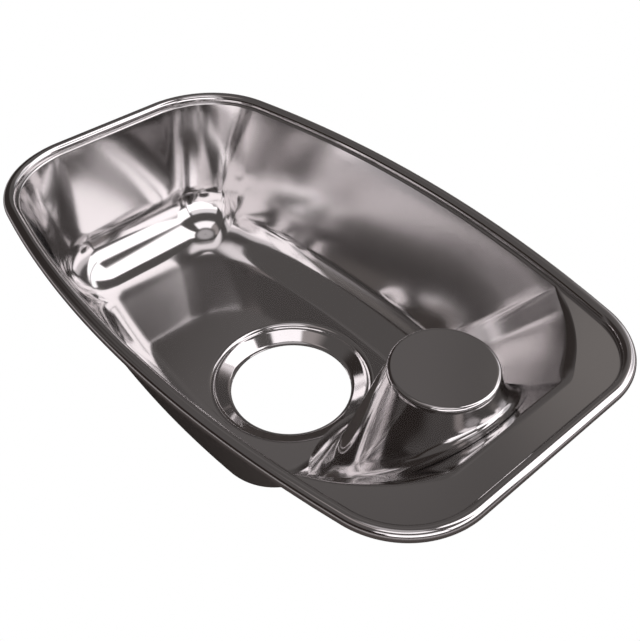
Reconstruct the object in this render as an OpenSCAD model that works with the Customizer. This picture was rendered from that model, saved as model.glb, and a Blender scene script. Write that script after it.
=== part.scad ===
// Pedicure foot bath: a polished sheet-steel basin with a rolled rim, a flat ledge,
// a drain seat and a hollow footrest post. Millimetres, +Z up, +X towards the footrest end.
// Z = 0 is the underside of the drain seat, the lowest face of the basin.

/* [Rim] */
// Overall length over the rolled rim
rim_length = 554; // [540:1:570]
// Overall width over the rolled rim, at mid length
rim_width = 330; // [320:1:345]
// Width of the rim at its two ends, where the bowed sides would meet the straight ends
rim_end_width = 252; // [244:1:262]
// Outside corner radius of the rim at the heel end
heel_corner_r = 90; // [86:1:96]
// Outside corner radius of the rim at the footrest end
toe_corner_r = 71; // [60:1:80]
// Outside diameter of the rolled rim
bead_d = 11; // [9:0.5:12]

/* [Sheet] */
// Thickness of the steel sheet
sheet = 1.5; // [1:0.1:1.8]

/* [Well] */
// Depth of the floor below the middle of the rolled rim
well_depth = 147; // [135:1:160]
// Distance from the outside of the rim to the top of the well wall
wall_inset = 13; // [12.5:0.5:15]
// Lean of the side walls from the vertical, in degrees
wall_draft = 15; // [14:0.5:15.5]
// Radius between the side walls and the floor
side_fillet_r = 44; // [40:1:44]
// Radius between the heel wall and the floor
heel_fillet_r = 56; // [50:1:58]
// Radius between the end slope and the floor
foot_fillet_r = 31; // [24:1:32]
// Distance from the outside of the rim to the edge of the flat floor, at the heel end
heel_floor_in = 73; // [72:1:80]
// Plan radius of the flat floor's corners at the heel end
heel_floor_r = 8; // [5:1:20]
// Radius of the rounded footrest end of the well's mouth
nose_r = 155; // [150:1:160]
// X position of the centre of that round end
nose_x = 100; // [95:1:105]
// X position of the bend where the ledge turns down into the end slope
bend_x = 240; // [230:1:246]
// X position where the end slope would meet the floor
slope_foot_x = 95; // [95:1:110]
// Plan radius of the floor corners at the foot of the end slope
foot_corner_r = 18; // [10:1:30]

/* [Ledge] */
// Drop of the ledge's upper face below the middle of the rolled rim
ledge_drop = 1.3; // [0.8:0.1:2]

/* [Drain] */
// Radius of the open drain hole
drain_r = 57; // [50:0.5:58]
// X position of the drain's centre
drain_x = 2.8; // [-5:0.1:5]
// Radius of the drain seat where it meets the floor
seat_r = 78; // [75:0.5:78]
// Depth of the drain hole's edge below the floor
seat_drop = 12; // [10:0.5:14]
// Radius of the rounded shoulder of the seat
seat_shoulder_r = 7; // [5:0.5:8]
// Angle through which the shoulder turns down, in degrees
seat_shoulder_angle = 60; // [45:1:65]
// Width of the flat landing round the drain hole
seat_landing = 1.5; // [1:0.5:3]

/* [Footrest] */
// X position of the footrest post's axis
post_x = 178.5; // [174:0.5:182]
// Outside radius at the top of the post
post_top_r = 41; // [38:0.5:42]
// Lean of the post's flank from the vertical, in degrees
post_draft = 18.5; // [17:0.5:19]
// Height of the footrest's top face above the middle of the rolled rim
cap_rise = 6.3; // [2:0.1:12]
// Height of the cap's rounded skirt
cap_h = 5; // [4:0.5:8]
// Radius of the cap's rounded edge
cap_edge_r = 3.3; // [2.5:0.1:4]
// Leg length of the fillet weld round the foot of the post
weld_leg = 8; // [5:0.5:9]

/* [Hidden] */

// Facets: round a full circle, along a rim corner, along a bowed side, round a small edge
circle_facets = 180;
corner_steps = 10;
side_steps = 32;
edge_steps = 6;

// Levels
floor_z = sheet + seat_drop;
rim_z = floor_z + well_depth;
deck_z = rim_z - ledge_drop;
wall_top_z = deck_z - sheet;
cap_top_z = rim_z + cap_rise;
post_top_z = cap_top_z - cap_h;

// Rim outline: two bowed sides, two straight ends and four corner arcs, all tangent
half_l = rim_length / 2;
side_sag = (rim_width - rim_end_width) / 2;
side_r = (half_l * half_l + side_sag * side_sag) / (2 * side_sag);
side_cy = rim_width / 2 - side_r;

// Centre of a corner arc of radius r that touches the end line at x = s * half_l and the side
function corner_c(s, r) = let (x = s * (half_l - r))
    [x, side_cy + sqrt(pow(side_r - r, 2) - x * x)];
toe_c = corner_c(1, toe_corner_r);
heel_c = corner_c(-1, heel_corner_r);
toe_a = atan2(toe_c[1] - side_cy, toe_c[0]);
heel_a = atan2(heel_c[1] - side_cy, heel_c[0]);

function unit(a) = [cos(a), sin(a)];
function arc(c, r, a0, a1, n) = [for (i = [0 : n]) c + r * unit(a0 + (a1 - a0) * i / n)];
function mirrored(p) = concat(p, [for (i = [len(p) - 1 : -1 : 0]) [p[i][0], -p[i][1]]]);

// Closed outline of the rim, moved inwards by d
function rim_outline(d) = mirrored(concat(
    arc(toe_c, toe_corner_r - d, 0, toe_a, corner_steps),
    arc([0, side_cy], side_r - d, toe_a, heel_a, side_steps),
    arc(heel_c, heel_corner_r - d, heel_a, 180, corner_steps)));

// Well: every point of the mouth and of the floor edge is found from the plan direction a in
// which the wall there faces, from 0 at the end slope to 180 at the heel end
wall_side_r = side_r - wall_inset;
fall = deck_z - floor_z;
floor_in = fall * tan(wall_draft) + side_fillet_r * tan(45 - wall_draft / 2);
floor_side_r = wall_side_r - floor_in;
heel_floor_c = let (x = heel_floor_in + heel_floor_r - half_l)
    [x, side_cy + sqrt(pow(floor_side_r - heel_floor_r, 2) - x * x)];
heel_floor_a = atan2(heel_floor_c[1] - side_cy, heel_floor_c[0]);
slope_angle = atan2(fall, bend_x - slope_foot_x);
slope_c_x = slope_foot_x - foot_fillet_r * tan(slope_angle / 2);
foot_c_x = slope_c_x - foot_corner_r;
foot_c = [foot_c_x, side_cy + sqrt(pow(floor_side_r - foot_corner_r, 2) - foot_c_x * foot_c_x)];
foot_a = atan2(foot_c[1] - side_cy, foot_c[0]);

// Horn tip, where the round end of the mouth meets its bowed side
tip_span = norm([nose_x, side_cy]);
tip_turn = acos((wall_side_r * wall_side_r + tip_span * tip_span - nose_r * nose_r)
    / (2 * wall_side_r * tip_span));
tip_a = atan2(-side_cy, nose_x) - tip_turn;
tip = [0, side_cy] + wall_side_r * unit(tip_a);
tip_nose_a = atan2(tip[1], tip[0] - nose_x);
bend_a = acos((bend_x - nose_x) / nose_r);
bend_end = [bend_x, nose_r * sin(bend_a)];

function mouth_at(a) =
    a >= heel_a ? heel_c + (heel_corner_r - wall_inset) * unit(a) :
    a >= tip_a ? [0, side_cy] + wall_side_r * unit(a) :
    a >= tip_nose_a ? tip :
    a >= bend_a ? [nose_x, 0] + nose_r * unit(a) : bend_end;
function floor_at(a) =
    a >= heel_floor_a ? heel_floor_c + heel_floor_r * unit(a) :
    a >= foot_a ? [0, side_cy] + floor_side_r * unit(a) :
    foot_c + foot_corner_r * unit(a);

// Radius of the floor fillet in plan direction a: it grows from the end slope to the sides and
// from the sides to the heel end
heel_grow_a = [92, 130];
function ease(t) = let (x = min(max(t, 0), 1)) x * x * (3 - 2 * x);
function fillet_at(a) =
    foot_fillet_r + (side_fillet_r - foot_fillet_r) * ease(a / foot_a) +
    (heel_fillet_r - side_fillet_r) * ease((a - heel_grow_a[0]) / (heel_grow_a[1] - heel_grow_a[0]));

// Lean from the vertical of the wall that faces plan direction a
function lean_at(a) = let (
        out = (mouth_at(a) - floor_at(a)) * unit(a),
        r = fillet_at(a),
        up = fall - r)
    acos(r / norm([out, up])) - atan2(up, out);

// Plan directions of one half of the well, closer together where its corners turn
function steps(a0, a1, n) = [for (i = [1 : n]) a0 + (a1 - a0) * i / n];
half_dirs = concat([0, 0], steps(0, bend_a, 4), steps(bend_a, tip_nose_a, 6),
    steps(tip_nose_a, tip_a, 3), steps(tip_a, foot_a, 2), steps(foot_a, heel_a, 8),
    steps(heel_a, 180, 8), [180]);
half_n = len(half_dirs);
fillet_steps = 6;

// Point of the well sheet in half direction i: k = 0 is the top edge of the wall, and k from 1
// goes down the fillet to the floor; off is 0 on the inner face and sheet on the outer face
function wall_pt(i, k, off) = let (
        a = half_dirs[i],
        u = unit(a),
        lean = lean_at(a),
        r = fillet_at(a) + off,
        turn = lean + (90 - lean) * max(k - 1, 0) / fillet_steps,
        low = concat(floor_at(a) + r * cos(turn) * u, floor_z + fillet_at(a) - r * sin(turn)),
        high = concat(mouth_at(a) + off * cos(lean) * u, deck_z - off * sin(lean)),
        p = k > 0 ? low : high + (low - high) * (high[2] - wall_top_z) / (high[2] - low[2]),
        half_width = (i == 0 || i == half_n - 1) ? 0 : p[1])
    [p[0], half_width, p[2]];
function mouth_pt(i, z) = let (p = mouth_at(half_dirs[i]))
    [p[0], (i == 0 || i == half_n - 1) ? 0 : p[1], z];
function whole(half) = concat(half,
    [for (i = [half_n - 2 : -1 : 1]) [half[i][0], -half[i][1], half[i][2]]]);
function wall_ring(k, off) = whole([for (i = [0 : half_n - 1]) wall_pt(i, k, off)]);
function mouth_ring(z) = whole([for (i = [0 : half_n - 1]) mouth_pt(i, z)]);

// Skin of triangles from one ring to the next, n points to a ring
function skin(n, r, next) = [for (i = [0 : n - 1]) let (j = (i + 1) % n)
    each [[r * n + j, r * n + i, next * n + i], [r * n + j, next * n + i, next * n + j]]];

function backwards(list) = [for (i = [len(list) - 1 : -1 : 0]) list[i]];

// Solid whose skin runs through the rings in turn, closed by the first and the last
module ring_solid(rings) {
    n = len(rings[0]);
    last = len(rings) - 1;
    polyhedron(
        points = [for (ring = rings) each ring],
        faces = concat(
            [[for (i = [0 : n - 1]) i]],
            [for (r = [0 : last - 1]) each skin(n, r, r + 1)],
            [[for (i = [n - 1 : -1 : 0]) last * n + i]]));
}

// Solid whose skin runs through the rings and from the last ring back to the first
module ring_loop(rings) {
    n = len(rings[0]);
    polyhedron(
        points = [for (ring = rings) each ring],
        faces = [for (r = [0 : len(rings) - 1]) each skin(n, r, (r + 1) % len(rings))]);
}

// The space inside the well, carried straight up past the footrest's top
module well_space() {
    ring_solid(concat(
        [for (k = [fillet_steps + 1 : -1 : 1]) wall_ring(k, 0)],
        [mouth_ring(deck_z), mouth_ring(cap_top_z + cap_h)]));
}

// Mouth of the well, as the ledge's inner edge
module mouth_2d() {
    intersection() {
        polygon(rim_outline(wall_inset));
        union() {
            translate([nose_x, 0]) circle(r = nose_r, $fn = circle_facets);
            translate([-half_l, -rim_width / 2]) square([half_l + nose_x, rim_width]);
        }
        translate([-half_l, -rim_width / 2]) square([half_l + bend_x, rim_width]);
    }
}

// Section of the rolled rim, +X outwards, open where the ledge's edge enters its inner side
slot_z = [-ledge_drop - sheet, -ledge_drop];
function slot_a(r, k) = asin(slot_z[k] / r);
curl_r = bead_d / 2;
curl_bore_r = curl_r - sheet;
curl_steps = 18;
curl_bore_steps = 12;
curl_section = concat(
    arc([0, 0], curl_r, 180 - slot_a(curl_r, 1), -180 - slot_a(curl_r, 0), curl_steps),
    arc([0, 0], curl_bore_r,
        -180 - slot_a(curl_bore_r, 0), 180 - slot_a(curl_bore_r, 1), curl_bore_steps));

// The same section standing across the rim at each plan direction, on the way round the rim
function curl_ring(c, r, a, flip) = [for (q = curl_section)
    let (p = c + (r - curl_r + q[0]) * unit(a)) [p[0], flip * p[1], rim_z + q[1]]];
function curl_rings(c, r, a0, a1, n, flip) =
    [for (i = [0 : n - 1]) curl_ring(c, r, a0 + (a1 - a0) * i / n, flip)];
function curl_half(flip) = concat(
    curl_rings(toe_c, toe_corner_r, 0, toe_a, corner_steps, flip),
    curl_rings([0, side_cy], side_r, toe_a, heel_a, side_steps / 2, flip),
    curl_rings(heel_c, heel_corner_r, heel_a, 180, corner_steps, flip),
    [curl_ring(heel_c, heel_corner_r, 180, flip)]);

module rim_bead() {
    color("silver") ring_loop(concat(curl_half(1), backwards(curl_half(-1))));
}

// Flat ledge: wide at the footrest end, a narrow strip elsewhere; its edge sits in the curl
module deck_flange() {
    color("lightgray") translate([0, 0, wall_top_z]) linear_extrude(sheet) difference() {
        polygon(rim_outline(bead_d / 2));
        mouth_2d();
    }
}

// Well: leaning walls, end slope, rounded corners and flat floor in one sheet, with a round
// hole that takes the drain seat
seat_gap = 0.1;
hole_r = seat_r + seat_gap;
function seat_ring(z) = whole([for (i = [0 : half_n - 1])
    let (a = 180 * i / (half_n - 1)) [drain_x + hole_r * cos(a), hole_r * sin(a), z]]);

module well_shell() {
    color("gainsboro") ring_loop(concat(
        [seat_ring(floor_z - sheet)],
        [for (k = [fillet_steps + 1 : -1 : 0]) wall_ring(k, sheet)],
        [for (k = [0 : fillet_steps + 1]) wall_ring(k, 0)],
        [seat_ring(floor_z)]));
}

// Half section of the drain seat: rounded shoulder, cone, flat landing and the hole's edge
function shoulder(r) = [for (i = [0 : edge_steps]) let (a = seat_shoulder_angle * i / edge_steps)
    [seat_r - r * sin(a), floor_z - seat_shoulder_r + r * cos(a)]];
shoulder_end = shoulder(seat_shoulder_r)[edge_steps];
landing_r = drain_r + seat_landing;
cone_angle = atan2(shoulder_end[1] - sheet, shoulder_end[0] - landing_r);
cone_end_r = landing_r + sheet * tan(cone_angle / 2);

module drain_seat() {
    color("darkgray") translate([drain_x, 0, 0]) rotate_extrude($fn = circle_facets) polygon(concat(
        shoulder(seat_shoulder_r),
        [[landing_r, sheet], [drain_r, sheet], [drain_r, 0], [cone_end_r, 0]],
        [shoulder_end + sheet * [sin(cone_angle), -cos(cone_angle)]],
        [for (i = [edge_steps - 1 : -1 : 0]) shoulder(seat_shoulder_r - sheet)[i]]));
}

// Outside radius of the post at height z
function post_r(z) = post_top_r + (post_top_z - z) * tan(post_draft);
wall_across = sheet / cos(post_draft);

module footrest_post() {
    color("lightgray") intersection() {
        translate([post_x, 0, 0]) rotate_extrude($fn = circle_facets) polygon([
            [post_r(post_top_z) - wall_across, post_top_z], [post_r(post_top_z), post_top_z],
            [post_r(0), 0], [post_r(0) - wall_across, 0]]);
        well_space();
    }
}

// Cap: flat round top with a rounded edge and a short skirt that stands on the post
function cap_edge(r) =
    arc([post_top_r - cap_edge_r, cap_top_z - cap_edge_r], r, 0, 90, edge_steps);

module footrest_cap() {
    color("dimgray") translate([post_x, 0, 0]) rotate_extrude($fn = circle_facets) polygon(concat(
        [[post_top_r, post_top_z]], cap_edge(cap_edge_r), [[0, cap_top_z], [0, cap_top_z - sheet]],
        backwards(cap_edge(cap_edge_r - sheet)),
        [[post_top_r - sheet, post_top_z]]));
}

// Height of the floor, its fillet and the end slope at x
slope_end_x = slope_c_x + foot_fillet_r * sin(slope_angle);
function bed_z(x) =
    x < slope_c_x ? floor_z :
    x < slope_end_x ? floor_z + foot_fillet_r - sqrt(pow(foot_fillet_r, 2) - pow(x - slope_c_x, 2)) :
    floor_z + (x - slope_foot_x) * tan(slope_angle);

// Height at which the post's flank meets that bed in plan direction a, by repeated substitution
function foot_z(a, z, n) = n == 0 ? z : foot_z(a, bed_z(post_x + post_r(z) * cos(a)), n - 1);
function flank_pt(a, z) = [post_x + post_r(z) * cos(a), post_r(z) * sin(a), z];
function bed_pt(a, r) = let (x = post_x + r * cos(a)) [x, r * sin(a), bed_z(x)];
weld_rings = 60;
foot_passes = 16;

module post_weld() {
    color("silver") polyhedron(
        points = [for (i = [0 : weld_rings - 1]) let (
                a = 360 * i / weld_rings,
                z = foot_z(a, floor_z, foot_passes))
            each [flank_pt(a, z + weld_leg), bed_pt(a, post_r(z)), bed_pt(a, post_r(z) + weld_leg)]],
        faces = [for (i = [0 : weld_rings - 1], k = [0 : 2]) let (
                j = (i + 1) % weld_rings,
                m = (k + 1) % 3)
            each [[3 * i + k, 3 * i + m, 3 * j + m], [3 * i + k, 3 * j + m, 3 * j + k]]]);
}

rim_bead();
deck_flange();
well_shell();
drain_seat();
footrest_post();
footrest_cap();
post_weld();
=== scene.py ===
import math

import bmesh
import bpy
from mathutils import Matrix, Vector


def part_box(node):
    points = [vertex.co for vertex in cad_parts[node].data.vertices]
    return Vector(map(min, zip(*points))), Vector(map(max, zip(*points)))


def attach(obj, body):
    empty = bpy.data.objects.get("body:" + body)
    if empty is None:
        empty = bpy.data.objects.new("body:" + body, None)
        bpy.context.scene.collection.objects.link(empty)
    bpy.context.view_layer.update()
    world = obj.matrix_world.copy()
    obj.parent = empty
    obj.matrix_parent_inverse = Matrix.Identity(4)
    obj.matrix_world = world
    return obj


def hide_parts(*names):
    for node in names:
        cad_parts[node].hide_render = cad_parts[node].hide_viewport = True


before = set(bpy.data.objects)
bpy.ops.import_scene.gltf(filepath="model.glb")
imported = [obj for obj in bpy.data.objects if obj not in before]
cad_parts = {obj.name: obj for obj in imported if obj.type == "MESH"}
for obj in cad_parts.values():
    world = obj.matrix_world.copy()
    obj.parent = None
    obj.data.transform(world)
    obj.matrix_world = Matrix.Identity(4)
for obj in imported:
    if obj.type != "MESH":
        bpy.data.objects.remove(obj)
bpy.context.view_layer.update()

# Sizes of the basin in metres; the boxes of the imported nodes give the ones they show
MM = 0.001
rim_low, rim_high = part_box("rim_bead")
cap_low, cap_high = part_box("footrest_cap")
seat_low, seat_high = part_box("drain_seat")
BEAD_D = 11 * MM
SHEET = 1.5 * MM
RIM_Z = (rim_low[2] + rim_high[2]) / 2
DECK_Z = RIM_Z - 1.3 * MM
FLOOR_Z = seat_high[2]
HALF_L = 277 * MM
RIM_HALF_W = 165 * MM
RIM_HALF_END = 126 * MM
HEEL_R = 90 * MM
TOE_R = 71 * MM
WALL_INSET = 13 * MM
WALL_DRAFT = math.radians(15)
SIDE_FILLET_R = 44 * MM
HEEL_FILLET_R = 56 * MM
FOOT_FILLET_R = 31 * MM
HEEL_FLOOR_IN = 73 * MM
HEEL_FLOOR_R = 8 * MM
NOSE_R = 155 * MM
NOSE_X = 100 * MM
# Bend of the ledge, and the radius that rounds the mouth's corner between it and the horns
BEND_X = 240 * MM
BEND_R = 40 * MM
SLOPE_FOOT_X = 95 * MM
FOOT_R = 18 * MM
DRAIN_X = (seat_low[0] + seat_high[0]) / 2
SEAT_R = (seat_high[0] - seat_low[0]) / 2
DRAIN_R = 57 * MM
SHOULDER_R = 7 * MM
SHOULDER_TURN = math.radians(60)
LANDING = 1.5 * MM
POST_X = (cap_low[0] + cap_high[0]) / 2
POST_TOP_R = (cap_high[0] - cap_low[0]) / 2
POST_DRAFT = math.radians(18.5)
POST_TOP_Z = cap_low[2]
CAP_TOP_Z = cap_high[2]
CAP_EDGE_R = 3.3 * MM
# Hollow weld at the foot of the post: twice the leg of the CAD's flat one for the same throat,
# and cut back uphill, where the bend of the ledge is near
WELD_LEG = 16 * MM
UPHILL_CUT = 9 * MM
# Radius with which the ledge rolls over into the well: at the bend, round the horns and along
# the sides. Round the horns the roll starts with a crisp edge, already turned down. The roll
# starts LIP_OUT outside the mouth, and BEND_OUT more at the bend.
BEND_ROLL = 10 * MM
HORN_ROLL = 24 * MM
LIP_ROLL = 2.1 * MM
INNER_ROLL_MIN = 0.3 * MM
LIP_OUT = 1.575 * MM
BEND_OUT = 3.2 * MM
HORN_EDGE_TURN = math.radians(18)
# Narrow bands of faces that keep a flat face flat in its shading
LIP_BAND = 0.15 * MM
FLOOR_BAND = 0.4 * MM
HOLE_BAND = 0.5 * MM
CAP_BAND = 0.3 * MM


def unit(a):
    return Vector((math.cos(a), math.sin(a)))


# Outline of the rim: two bowed sides, straight ends and four corner arcs
SAG = RIM_HALF_W - RIM_HALF_END
SIDE_R = (HALF_L ** 2 + SAG ** 2) / (2 * SAG)
SIDE_C = Vector((0, RIM_HALF_W - SIDE_R))


def corner_centre(side, r):
    x = side * (HALF_L - r)
    return Vector((x, SIDE_C.y + math.sqrt((SIDE_R - r) ** 2 - x * x)))


TOE_C = corner_centre(1, TOE_R)
HEEL_C = corner_centre(-1, HEEL_R)
TOE_A = math.atan2(TOE_C.y - SIDE_C.y, TOE_C.x)
HEEL_A = math.atan2(HEEL_C.y - SIDE_C.y, HEEL_C.x)


def rim_at(a, inset):
    """Point of the rim's outline, moved inwards, where it faces plan direction a."""
    if a > HEEL_A:
        return HEEL_C + (HEEL_R - inset) * unit(a)
    if a > TOE_A:
        return SIDE_C + (SIDE_R - inset) * unit(a)
    return TOE_C + (TOE_R - inset) * unit(a)


# The well: mouth and floor edge by plan direction, the same construction as the CAD part
WALL_SIDE_R = SIDE_R - WALL_INSET
FALL = DECK_Z - FLOOR_Z
FLOOR_IN = FALL * math.tan(WALL_DRAFT) + SIDE_FILLET_R * math.tan(math.pi / 4 - WALL_DRAFT / 2)
FLOOR_SIDE_R = WALL_SIDE_R - FLOOR_IN
HEEL_FLOOR_X = HEEL_FLOOR_IN + HEEL_FLOOR_R - HALF_L
HEEL_FLOOR_C = Vector((HEEL_FLOOR_X, SIDE_C.y + math.sqrt(
    (FLOOR_SIDE_R - HEEL_FLOOR_R) ** 2 - HEEL_FLOOR_X ** 2)))
HEEL_FLOOR_A = math.atan2(HEEL_FLOOR_C.y - SIDE_C.y, HEEL_FLOOR_C.x)
SLOPE = math.atan2(FALL, BEND_X - SLOPE_FOOT_X)
SLOPE_C_X = SLOPE_FOOT_X - FOOT_FILLET_R * math.tan(SLOPE / 2)
FOOT_C_X = SLOPE_C_X - FOOT_R
FOOT_C = Vector((FOOT_C_X, SIDE_C.y + math.sqrt((FLOOR_SIDE_R - FOOT_R) ** 2 - FOOT_C_X ** 2)))
FOOT_A = math.atan2(FOOT_C.y - SIDE_C.y, FOOT_C.x)
TIP_SPAN = math.hypot(NOSE_X, SIDE_C.y)
TIP_TURN = math.acos((WALL_SIDE_R ** 2 + TIP_SPAN ** 2 - NOSE_R ** 2) / (2 * WALL_SIDE_R * TIP_SPAN))
TIP_A = math.atan2(-SIDE_C.y, NOSE_X) - TIP_TURN
TIP = SIDE_C + WALL_SIDE_R * unit(TIP_A)
TIP_NOSE_A = math.atan2(TIP.y, TIP.x - NOSE_X)
BEND_C = Vector((BEND_X - BEND_R, math.sqrt(
    (NOSE_R - BEND_R) ** 2 - (BEND_X - BEND_R - NOSE_X) ** 2)))
BEND_A = math.atan2(BEND_C.y, BEND_C.x - NOSE_X)


def mouth_at(a):
    if a >= HEEL_A:
        return HEEL_C + (HEEL_R - WALL_INSET) * unit(a)
    if a >= TIP_A:
        return SIDE_C + WALL_SIDE_R * unit(a)
    if a >= TIP_NOSE_A:
        return TIP
    if a >= BEND_A:
        return Vector((NOSE_X, 0)) + NOSE_R * unit(a)
    return BEND_C + BEND_R * unit(a)


def floor_at(a):
    if a >= HEEL_FLOOR_A:
        return HEEL_FLOOR_C + HEEL_FLOOR_R * unit(a)
    if a >= FOOT_A:
        return SIDE_C + FLOOR_SIDE_R * unit(a)
    return FOOT_C + FOOT_R * unit(a)


def smooth_step(x):
    x = min(max(x, 0.0), 1.0)
    return x * x * (3 - 2 * x)


HEEL_GROW_A = (math.radians(92), math.radians(130))


def fillet_at(a):
    """Radius of the floor fillet: it grows from the end slope to the sides and to the heel."""
    heel_part = smooth_step((a - HEEL_GROW_A[0]) / (HEEL_GROW_A[1] - HEEL_GROW_A[0]))
    return (FOOT_FILLET_R + (SIDE_FILLET_R - FOOT_FILLET_R) * smooth_step(a / FOOT_A)
            + (HEEL_FILLET_R - SIDE_FILLET_R) * heel_part)


def roll_at(a):
    """Radius of the roll over the lip, and the angle it has already turned down at its edge."""
    if a < BEND_A:
        t = smooth_step(a / BEND_A)
        return BEND_ROLL + (HORN_ROLL - BEND_ROLL) * t, HORN_EDGE_TURN * t
    t = max(0.0, 1 - (a - BEND_A) / (TIP_NOSE_A - BEND_A))
    return LIP_ROLL + (HORN_ROLL - LIP_ROLL) * t, HORN_EDGE_TURN * smooth_step(3 * t)


def lip_out(a):
    """How far outside the mouth the lip's roll starts."""
    return LIP_OUT + BEND_OUT * (1 - smooth_step(a / BEND_A))


def lip_centre(a):
    """Centre of the roll: distance out along the plan direction from the floor's edge, and z."""
    roll, edge_turn = roll_at(a)
    out = (mouth_at(a) - floor_at(a)).dot(unit(a)) + lip_out(a) + roll * math.sin(edge_turn)
    return out, DECK_Z - roll * math.cos(edge_turn)


def lean_at(a):
    """Lean of the wall that is tangent to the lip's roll and to the floor fillet."""
    out, z = lip_centre(a)
    up = z - FLOOR_Z - fillet_at(a)
    reach = roll_at(a)[0] + fillet_at(a)
    return math.acos(reach / math.hypot(out, up)) - math.atan2(up, out)


def spread(a0, a1, n):
    """n even steps from a0, which is left out, to a1."""
    return [a0 + (a1 - a0) * i / n for i in range(1, n + 1)]


# Plan directions of one half, closer together where the well's corners turn
TURNS = (
    [0.0] + spread(0, BEND_A, 14) + spread(BEND_A, TIP_NOSE_A, 26)
    + spread(TIP_NOSE_A, TIP_A, 12) + spread(TIP_A, FOOT_A, 8)
    + spread(FOOT_A, HEEL_A, 40) + spread(HEEL_A, math.pi, 56)
)
# The flat end walls run from the x axis, at 0 of their half width, to their corners
ACROSS = [0.0, 0.25, 0.5, 0.75, 0.97]
HALF_DIRS = [0.0] * len(ACROSS) + TURNS + [math.pi] * len(ACROSS)
HALF_WIDTHS = ACROSS + [1.0] * len(TURNS) + ACROSS[::-1]


def ring(point_at):
    """Closed ring from point_at(a), given for one half and mirrored for the other."""
    half = []
    for i, (a, width) in enumerate(zip(HALF_DIRS, HALF_WIDTHS)):
        p = Vector(point_at(a, i))
        p.y *= width
        half.append(p)
    return half + [Vector((p.x, -p.y, p.z)) for p in half[-2:0:-1]]


def loft(name, rings, node, closed=True):
    """Piece whose skin runs through rings of equal length, and back to the first if closed."""
    n = len(rings[0])
    verts = [p for r in rings for p in r]
    faces = []
    for r in range(len(rings) if closed else len(rings) - 1):
        s = (r + 1) % len(rings)
        for i in range(n):
            j = (i + 1) % n
            faces.append((r * n + i, r * n + j, s * n + j, s * n + i))
    mesh = bpy.data.meshes.new(name)
    mesh.from_pydata([tuple(p) for p in verts], [], faces)
    mesh.validate()
    shape = bmesh.new()
    shape.from_mesh(mesh)
    bmesh.ops.recalc_face_normals(shape, faces=shape.faces)
    shape.to_mesh(mesh)
    shape.free()
    mesh.polygons.foreach_set("use_smooth", [True] * len(mesh.polygons))
    mesh.set_sharp_from_angle(angle=math.radians(38))
    piece = bpy.data.objects.new(name, mesh)
    bpy.context.collection.objects.link(piece)
    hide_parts(node)
    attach(piece, "root")
    return piece


def at(xy, z):
    return Vector((xy[0], xy[1], z))


# --- Well -----------------------------------------------------------------------------------
LIP_STEPS = 12
WALL_STEPS = 10
FILLET_STEPS = 24


def well_section(a, off):
    """Points from the ledge's edge over the lip, down the wall and round the floor fillet."""
    u = unit(a)
    lean = lean_at(a)
    roll, edge_turn = roll_at(a)
    inner_roll = max(roll - off, INNER_ROLL_MIN)
    lip_c = mouth_at(a) + (lip_out(a) + roll * math.sin(edge_turn)) * u
    lip_z = lip_centre(a)[1]
    points = []
    for k in range(LIP_STEPS + 1):
        turn = edge_turn + (math.pi / 2 - lean - edge_turn) * k / LIP_STEPS
        side = lip_c - inner_roll * math.sin(turn) * u
        points.append(at(side, lip_z + inner_roll * math.cos(turn)))
    r = fillet_at(a) + off
    fillet = []
    for k in range(FILLET_STEPS + 1):
        turn = lean + (math.pi / 2 - lean) * k / FILLET_STEPS
        side = floor_at(a) + r * math.cos(turn) * u
        fillet.append(at(side, FLOOR_Z + fillet_at(a) - r * math.sin(turn)))
    top = points[-1]
    for k in range(1, WALL_STEPS):
        points.append(top.lerp(fillet[0], k / WALL_STEPS))
    return points + fillet


def well_rings(off):
    sections = [well_section(a, off) for a in HALF_DIRS]
    rings = [ring(lambda a, i, k=k: sections[i][k]) for k in range(len(sections[0]))]
    z = FLOOR_Z - off
    rings.append(ring(lambda a, i: at(floor_at(a) - FLOOR_BAND * unit(a), z)))
    last = len(HALF_DIRS) - 1
    for hole_r in (SEAT_R + HOLE_BAND, SEAT_R):
        rings.append([Vector((DRAIN_X + hole_r * math.cos(t), hole_r * math.sin(t), z))
                      for t in (math.pi * i / last for i in range(2 * last))])
    return rings


inside = well_rings(0)
outside = well_rings(SHEET)
well = loft("well_sheet", inside + outside[::-1], "well_shell")

# --- Ledge and the narrow strip beside the rim ----------------------------------------------
deck_rings = []
for z in (DECK_Z, DECK_Z - SHEET):
    level = [
        ring(lambda a, i: at(rim_at(a, BEAD_D / 2), z)),
        ring(lambda a, i: at(rim_at(a, BEAD_D), z)),
        ring(lambda a, i: at(mouth_at(a) + (lip_out(a) + LIP_BAND) * unit(a), z)),
        ring(lambda a, i: at(mouth_at(a) + lip_out(a) * unit(a), z)),
    ]
    deck_rings.append(level)
deck = loft("ledge_sheet", deck_rings[0] + deck_rings[1][::-1], "deck_flange")

# --- Rolled rim -----------------------------------------------------------------------------
CURL_STEPS = 40
CURL_DIP = 0.4 * MM


def curl_section():
    """Rolled edge, open where the ledge's sheet enters its inner side; it bears on the sheet."""
    outer_r = BEAD_D / 2
    bore_r = outer_r - SHEET
    low, high = DECK_Z - SHEET - RIM_Z, DECK_Z - RIM_Z
    points = []
    for r, steps, way in ((outer_r, CURL_STEPS, 1), (bore_r, CURL_STEPS // 2, -1)):
        a0 = math.pi - math.asin((high - CURL_DIP) / r)
        a1 = -math.pi - math.asin(low / r)
        arc = [(r * math.cos(t), r * math.sin(t))
               for t in (a0 + (a1 - a0) * k / steps for k in range(steps + 1))]
        points += arc[::way]
    return points


rim_rings = [ring(lambda a, i: at(rim_at(a, BEAD_D / 2 - x), RIM_Z + z))
             for x, z in curl_section()]
rim = loft("rolled_rim", rim_rings, "rim_bead")

# --- Turned pieces --------------------------------------------------------------------------
TURN_STEPS = 256


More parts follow.
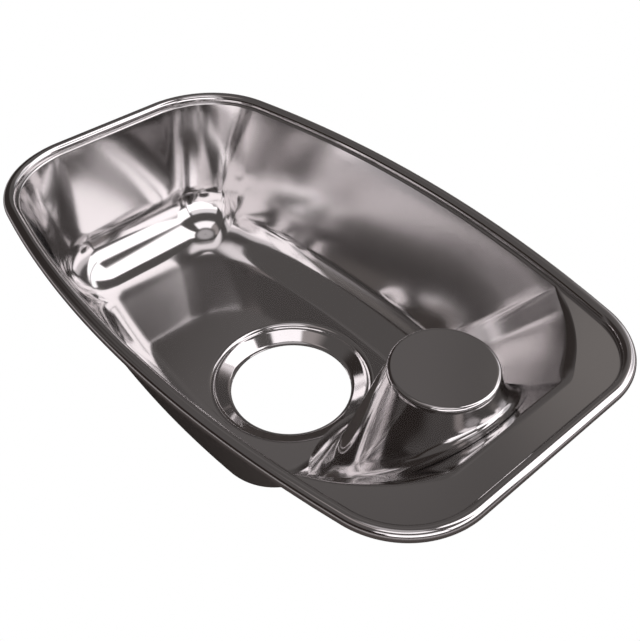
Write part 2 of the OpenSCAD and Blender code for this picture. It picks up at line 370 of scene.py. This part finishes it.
def turn_piece(name, profile, x, node):
    """Piece turned about a vertical axis at x from a closed profile of (radius, z)."""
    rings = []
    for r, z in profile:
        rings.append([Vector((x + r * math.cos(t), r * math.sin(t), z))
                      for t in (2 * math.pi * k / TURN_STEPS for k in range(TURN_STEPS))])
    return loft(name, rings, node)


def seat_shoulder(r, steps=14):
    return [(SEAT_R - r * math.sin(t), FLOOR_Z - SHOULDER_R + r * math.cos(t))
            for t in (SHOULDER_TURN * k / steps for k in range(steps + 1))]


shoulder = seat_shoulder(SHOULDER_R)
landing_r = DRAIN_R + LANDING
cone_turn = math.atan2(shoulder[-1][1] - SHEET, shoulder[-1][0] - landing_r)
under = seat_shoulder(SHOULDER_R - SHEET)
cone_end = (landing_r + SHEET * math.tan(cone_turn / 2), 0.0)
cone_foot = (shoulder[-1][0] + SHEET * math.sin(cone_turn),
             shoulder[-1][1] - SHEET * math.cos(cone_turn))


def between(p, q, n):
    return [(p[0] + (q[0] - p[0]) * k / n, p[1] + (q[1] - p[1]) * k / n) for k in range(1, n)]


EDGE_SOFT = 0.35 * MM
seat_profile = (
    shoulder
    + between(shoulder[-1], (landing_r, SHEET), 6)
    + [(landing_r, SHEET), (DRAIN_R + EDGE_SOFT, SHEET), (DRAIN_R, SHEET - EDGE_SOFT),
       (DRAIN_R, EDGE_SOFT), (DRAIN_R + EDGE_SOFT, 0.0), cone_end, cone_foot]
    + under[::-1]
)
seat = turn_piece("drain_seat_ring", seat_profile, DRAIN_X, "drain_seat")


def post_r(z):
    return POST_TOP_R + (POST_TOP_Z - z) * math.tan(POST_DRAFT)


# Bed that the post stands on: floor, its fillet and the end slope, as a height at x
SLOPE_END_X = SLOPE_C_X + FOOT_FILLET_R * math.sin(SLOPE)


def bed_z(x):
    if x < SLOPE_C_X:
        return FLOOR_Z
    if x < SLOPE_END_X:
        return FLOOR_Z + FOOT_FILLET_R - math.sqrt(FOOT_FILLET_R ** 2 - (x - SLOPE_C_X) ** 2)
    return FLOOR_Z + (x - SLOPE_FOOT_X) * math.tan(SLOPE)


def foot_z(a):
    """Height at which the post's flank meets its bed in plan direction a."""
    low, high = 0.0, POST_TOP_Z
    for _ in range(40):
        mid = (low + high) / 2
        if bed_z(POST_X + post_r(mid) * math.cos(a)) > mid:
            low = mid
        else:
            high = mid
    return low


def flank(a, z, off=0.0):
    r = post_r(z) - off
    return Vector((POST_X + r * math.cos(a), r * math.sin(a), z))


FOOT_GAP = 0.5 * MM
POST_DIRS = [2 * math.pi * k / TURN_STEPS for k in range(TURN_STEPS)]
POST_FEET = [foot_z(a) for a in POST_DIRS]
FLANK_STEPS = 16
WALL_ACROSS = SHEET / math.cos(POST_DRAFT)
post_rings = []
for off, order in ((0.0, range(FLANK_STEPS + 1)), (WALL_ACROSS, range(FLANK_STEPS, -1, -1))):
    for k in order:
        down = k / FLANK_STEPS
        post_rings.append([flank(a, POST_TOP_Z + (z + FOOT_GAP - POST_TOP_Z) * down, off)
                           for a, z in zip(POST_DIRS, POST_FEET)])
post = loft("footrest_cone", post_rings, "footrest_post")

# --- Weld round the foot of the post, ground to a hollow fillet -------------------------------
WELD_STEPS = 20


def weld_ring_points(a, z):
    """Hollow curve from the flank to the bed, and the corner behind it."""
    r = post_r(z)
    high = flank(a, z + WELD_LEG)
    corner = flank(a, z)
    low_r = r + WELD_LEG - UPHILL_CUT * max(math.cos(a), 0) ** 2
    x = POST_X + low_r * math.cos(a)
    low = Vector((x, low_r * math.sin(a), bed_z(x)))
    points = []
    for k in range(WELD_STEPS + 1):
        t = k / WELD_STEPS
        points.append(high * (1 - t) ** 2 + corner * (2 * t * (1 - t)) + low * t ** 2)
    return points + [corner]


weld_sections = [weld_ring_points(a, z) for a, z in zip(POST_DIRS, POST_FEET)]
weld_rings = [[s[k] for s in weld_sections] for k in range(len(weld_sections[0]))]
weld = loft("foot_weld", weld_rings, "post_weld")

# --- Cap ------------------------------------------------------------------------------------
def cap_edge(r, steps=14):
    return [(POST_TOP_R - CAP_EDGE_R + r * math.cos(t), CAP_TOP_Z - CAP_EDGE_R + r * math.sin(t))
            for t in (math.pi / 2 * k / steps for k in range(steps + 1))]


flat_r = POST_TOP_R - CAP_EDGE_R
CAP_CENTRE_R = 0.05 * MM
cap_profile = (
    [(POST_TOP_R, POST_TOP_Z)] + cap_edge(CAP_EDGE_R)
    + [(flat_r - CAP_BAND, CAP_TOP_Z), (flat_r / 2, CAP_TOP_Z), (CAP_CENTRE_R, CAP_TOP_Z),
       (CAP_CENTRE_R, CAP_TOP_Z - SHEET)]
    + cap_edge(CAP_EDGE_R - SHEET)[::-1]
    + [(POST_TOP_R - SHEET, POST_TOP_Z)]
)
cap = turn_piece("footrest_disc", cap_profile, POST_X, "footrest_cap")


# --- Materials --------------------------------------------------------------------------------
def steel(name, tint, gloss, grain, grain_scale, wall_haze=0.0):
    """Polished stainless sheet: slightly uneven tone and gloss, faint polishing lines."""
    mat = bpy.data.materials.new(name)
    mat.use_nodes = True
    nodes, links = mat.node_tree.nodes, mat.node_tree.links
    bsdf = nodes["Principled BSDF"]
    bsdf.inputs["Metallic"].default_value = 1.0
    coords = nodes.new("ShaderNodeTexCoord")

    cloud = nodes.new("ShaderNodeTexNoise")
    cloud.inputs["Scale"].default_value = 9.0
    cloud.inputs["Detail"].default_value = 4.0
    links.new(coords.outputs["Object"], cloud.inputs["Vector"])

    tone = nodes.new("ShaderNodeMix")
    tone.data_type = "RGBA"
    tone.inputs["A"].default_value = (*[0.96 * c for c in tint], 1)
    tone.inputs["B"].default_value = (*tint, 1)
    links.new(cloud.outputs["Fac"], tone.inputs["Factor"])
    links.new(tone.outputs["Result"], bsdf.inputs["Base Color"])

    rough = nodes.new("ShaderNodeMapRange")
    rough.inputs["From Min"].default_value = 0.3
    rough.inputs["From Max"].default_value = 0.7
    rough.inputs["To Min"].default_value = gloss[0]
    rough.inputs["To Max"].default_value = gloss[1]
    links.new(cloud.outputs["Fac"], rough.inputs["Value"])
    parts = nodes.new("ShaderNodeSeparateXYZ")
    links.new(coords.outputs["Object"], parts.inputs[0])
    upper = nodes.new("ShaderNodeMapRange")
    upper.interpolation_type = "SMOOTHSTEP"
    upper.inputs["From Min"].default_value = 0.045
    upper.inputs["From Max"].default_value = 0.085
    upper.inputs["To Max"].default_value = wall_haze
    links.new(parts.outputs["Z"], upper.inputs["Value"])
    finish = nodes.new("ShaderNodeMath")
    finish.operation = "ADD"
    links.new(rough.outputs["Result"], finish.inputs[0])
    links.new(upper.outputs["Result"], finish.inputs[1])
    links.new(finish.outputs[0], bsdf.inputs["Roughness"])

    stretch = nodes.new("ShaderNodeMapping")
    stretch.inputs["Scale"].default_value = grain_scale
    links.new(coords.outputs["Object"], stretch.inputs["Vector"])
    lines = nodes.new("ShaderNodeTexNoise")
    lines.inputs["Scale"].default_value = 1.0
    lines.inputs["Detail"].default_value = 3.0
    links.new(stretch.outputs["Vector"], lines.inputs["Vector"])
    wave = nodes.new("ShaderNodeTexNoise")
    wave.inputs["Scale"].default_value = 16.0
    wave.inputs["Detail"].default_value = 1.0
    links.new(coords.outputs["Object"], wave.inputs["Vector"])
    swell = nodes.new("ShaderNodeBump")
    swell.inputs["Strength"].default_value = 1.0
    swell.inputs["Distance"].default_value = 0.00008
    links.new(wave.outputs["Fac"], swell.inputs["Height"])
    bump = nodes.new("ShaderNodeBump")
    bump.inputs["Strength"].default_value = grain
    bump.inputs["Distance"].default_value = 0.00001
    links.new(lines.outputs["Fac"], bump.inputs["Height"])
    links.new(swell.outputs["Normal"], bump.inputs["Normal"])
    links.new(bump.outputs["Normal"], bsdf.inputs["Normal"])
    return mat


sheet_steel = steel("polished_sheet_steel", (0.74, 0.725, 0.725), (0.06, 0.10), 0.15, (40, 500, 40),
                    wall_haze=0.06)
rim_steel = steel("polished_rim_steel", (0.76, 0.745, 0.745), (0.06, 0.12), 0.15, (300, 300, 500))
post_steel = steel("polished_post_steel", (0.75, 0.735, 0.735), (0.06, 0.10), 0.15, (200, 200, 500))
weld_steel = steel("dressed_weld_steel", (0.72, 0.705, 0.705), (0.09, 0.16), 0.3, (300, 300, 300))
for piece, mat in ((well, sheet_steel), (deck, sheet_steel), (seat, sheet_steel),
                   (rim, rim_steel), (post, post_steel), (cap, post_steel), (weld, weld_steel)):
    piece.data.materials.append(mat)


# --- Studio -----------------------------------------------------------------------------------
def panel(name, drop, size, mat):
    """Level square of the studio, centred under the basin."""
    mesh = bpy.data.meshes.new(name)
    h = size / 2
    mesh.from_pydata([(-h, -h, 0), (h, -h, 0), (h, h, 0), (-h, h, 0)], [], [(0, 1, 2, 3)])
    piece = bpy.data.objects.new(name, mesh)
    piece.location = (0, 0, -drop)
    mesh.materials.append(mat)
    bpy.context.collection.objects.link(piece)
    return piece


def floor_paper():
    """Pale paper as the camera sees it, clear from below. The steel mirrors it as the floor of
    the studio, with painted shade: its colour is darker under the basin and lighter away from it."""
    mat = bpy.data.materials.new("floor_paper")
    mat.use_nodes = True
    nodes, links = mat.node_tree.nodes, mat.node_tree.links
    nodes.clear()
    out = nodes.new("ShaderNodeOutputMaterial")
    mix = nodes.new("ShaderNodeMixShader")
    side = nodes.new("ShaderNodeMixShader")
    seen = nodes.new("ShaderNodeLightPath")
    geometry = nodes.new("ShaderNodeNewGeometry")
    clear = nodes.new("ShaderNodeBsdfTransparent")
    pale = nodes.new("ShaderNodeEmission")
    pale.inputs["Color"].default_value = (1, 1, 1, 1)
    shade = nodes.new("ShaderNodeBsdfDiffuse")
    coords = nodes.new("ShaderNodeTexCoord")
    length = nodes.new("ShaderNodeVectorMath")
    length.operation = "LENGTH"
    links.new(coords.outputs["Object"], length.inputs[0])
    away = nodes.new("ShaderNodeMapRange")
    away.interpolation_type = "SMOOTHSTEP"
    away.inputs["From Min"].default_value = PAINTED_SHADE_R[0]
    away.inputs["From Max"].default_value = PAINTED_SHADE_R[1]
    links.new(length.outputs["Value"], away.inputs["Value"])
    # painted shade: the floor colour is dark under the basin and lightens away from it
    tone = nodes.new("ShaderNodeMix")
    tone.data_type = "RGBA"
    tone.inputs["A"].default_value = (*PAINTED_FLOOR_SHADE, 1)
    tone.inputs["B"].default_value = (*FLOOR_LIGHT, 1)
    links.new(away.outputs["Result"], tone.inputs["Factor"])
    links.new(tone.outputs["Result"], shade.inputs["Color"])
    links.new(seen.outputs["Is Camera Ray"], mix.inputs[0])
    links.new(shade.outputs["BSDF"], mix.inputs[1])
    links.new(pale.outputs["Emission"], mix.inputs[2])
    links.new(geometry.outputs["Backfacing"], side.inputs[0])
    links.new(mix.outputs["Shader"], side.inputs[1])
    links.new(clear.outputs["BSDF"], side.inputs[2])
    links.new(side.outputs["Shader"], out.inputs["Surface"])
    return mat


# Painted shade on the floor as the steel mirrors it: the dark colour under the basin, the lighter
# one far from it, and the radii between which it changes
PAINTED_FLOOR_SHADE = (0.16, 0.145, 0.135)
FLOOR_LIGHT = (0.75, 0.73, 0.73)
PAINTED_SHADE_R = (0.42, 1.1)
FLOOR_SIZE = 6
FLOOR_DROP = 0.2 * MM
floor = panel("studio_floor", FLOOR_DROP, FLOOR_SIZE, floor_paper())

# Studio round the basin, as the steel mirrors it: taupe walls, bright windows and a few darker
# places. Each patch lies over those before it and is
# (middle azimuth, width, lowest elevation, highest elevation, softness, colour), in degrees
WALL_TONE = (0.100, 0.092, 0.090)
PATCHES = (
    (0, 360, 78, 90, 6, (0.50, 0.47, 0.48)),
    (57, 46, 5, 74, 2, (1.75, 1.66, 1.69)),
    (88, 20, 5, 44, 5, (1.6, 1.52, 1.55)),
    (17, 36, 20, 41, 3, (1.75, 1.66, 1.69)),
    (-33, 66, 14, 33, 5, (1.9, 1.80, 1.84)),
    (-35, 76, 59, 74, 5, (1.4, 1.33, 1.36)),
    (-36, 60, 31, 40, 4, (1.0, 0.95, 0.97)),
    (90, 36, 12, 32, 12, (0.6, 0.58, 0.6)),
    (255, 70, 62, 74, 8, (0.38, 0.34, 0.335)),
    (265, 80, 6, 26, 6, (0.02, 0.014, 0.011)),
    (110, 20, 34, 49, 10, (0.20, 0.184, 0.176)),
    (140, 30, 40, 56, 10, (0.13, 0.12, 0.118)),
    (182, 64, 4, 44, 14, (0.035, 0.029, 0.027)),
    (64, 60, 34.6, 36, 0.6, (0.06, 0.055, 0.055)),
    (-1, 1.8, 5, 41, 0.6, (0.10, 0.09, 0.09)),
)


def studio_world():
    world = bpy.data.worlds.new("studio")
    world.use_nodes = True
    nodes, links = world.node_tree.nodes, world.node_tree.links
    background = nodes["Background"]

    def math_node(kind, *values):
        node = nodes.new("ShaderNodeMath")
        node.operation = kind
        for socket, value in zip(node.inputs, values):
            if isinstance(value, (int, float)):
                socket.default_value = value
            else:
                links.new(value, socket)
        return node.outputs[0]

    def soft_edge(value, start, end):
        node = nodes.new("ShaderNodeMapRange")
        node.interpolation_type = "SMOOTHSTEP"
        links.new(value, node.inputs["Value"])
        node.inputs["From Min"].default_value = start
        node.inputs["From Max"].default_value = end
        return node.outputs["Result"]

    coords = nodes.new("ShaderNodeTexCoord")
    split = nodes.new("ShaderNodeSeparateXYZ")
    links.new(coords.outputs["Generated"], split.inputs[0])
    azimuth = math_node("ARCTAN2", split.outputs["Y"], split.outputs["X"])
    elevation = math_node("ARCSINE", split.outputs["Z"])
    colour = None
    for middle, width, low, high, soft, tint in PATCHES:
        from_middle = math_node("SUBTRACT", azimuth, math.radians(middle))
        off_middle = math_node("ABSOLUTE", math_node("WRAP", from_middle, math.pi, -math.pi))
        half, edge = math.radians(width / 2), math.radians(soft / 2)
        mask = math_node("MULTIPLY", soft_edge(off_middle, half + edge, half - edge), math_node(
            "MULTIPLY",
            soft_edge(elevation, math.radians(low) - edge, math.radians(low) + edge),
            soft_edge(elevation, math.radians(high) + edge, math.radians(high) - edge)))
        mix = nodes.new("ShaderNodeMix")
        mix.data_type = "RGBA"
        links.new(mask, mix.inputs["Factor"])
        if colour is None:
            mix.inputs["A"].default_value = (*WALL_TONE, 1)
        else:
            links.new(colour, mix.inputs["A"])
        mix.inputs["B"].default_value = (*tint, 1)
        colour = mix.outputs["Result"]
    # the camera sees the studio as plain pale paper
    seen = nodes.new("ShaderNodeLightPath")
    paper = nodes.new("ShaderNodeMix")
    paper.data_type = "RGBA"
    links.new(seen.outputs["Is Camera Ray"], paper.inputs["Factor"])
    links.new(colour, paper.inputs["A"])
    paper.inputs["B"].default_value = (1, 1, 1, 1)
    links.new(paper.outputs["Result"], background.inputs["Color"])
    return world


bpy.context.scene.world = studio_world()
bpy.context.scene.view_settings.view_transform = "Standard"

# --- Camera: the photograph's viewing angle -----------------------------------------------------
VIEW_AZ = math.radians(48.73)
VIEW_EL = math.radians(43.386)
VIEW_ROLL = math.radians(-0.627)
back = Vector((math.sin(VIEW_AZ) * math.cos(VIEW_EL), -math.cos(VIEW_AZ) * math.cos(VIEW_EL),
               math.sin(VIEW_EL)))
level_right = Vector((0, 0, 1)).cross(back).normalized()
level_up = back.cross(level_right)
right = level_right * math.cos(VIEW_ROLL) + level_up * math.sin(VIEW_ROLL)
up = level_up * math.cos(VIEW_ROLL) - level_right * math.sin(VIEW_ROLL)
CAMERA_AT = Vector((0.4400, -0.3464, RIM_Z + 0.4541))
camera_data = bpy.data.cameras.new("camera")
camera_data.lens = 48.79
camera_data.sensor_width = 36
camera = bpy.data.objects.new("camera", camera_data)
camera.matrix_world = Matrix((
    (right.x, up.x, back.x, CAMERA_AT.x),
    (right.y, up.y, back.y, CAMERA_AT.y),
    (right.z, up.z, back.z, CAMERA_AT.z),
    (0, 0, 0, 1),
))
bpy.context.collection.objects.link(camera)
bpy.context.scene.camera = camera
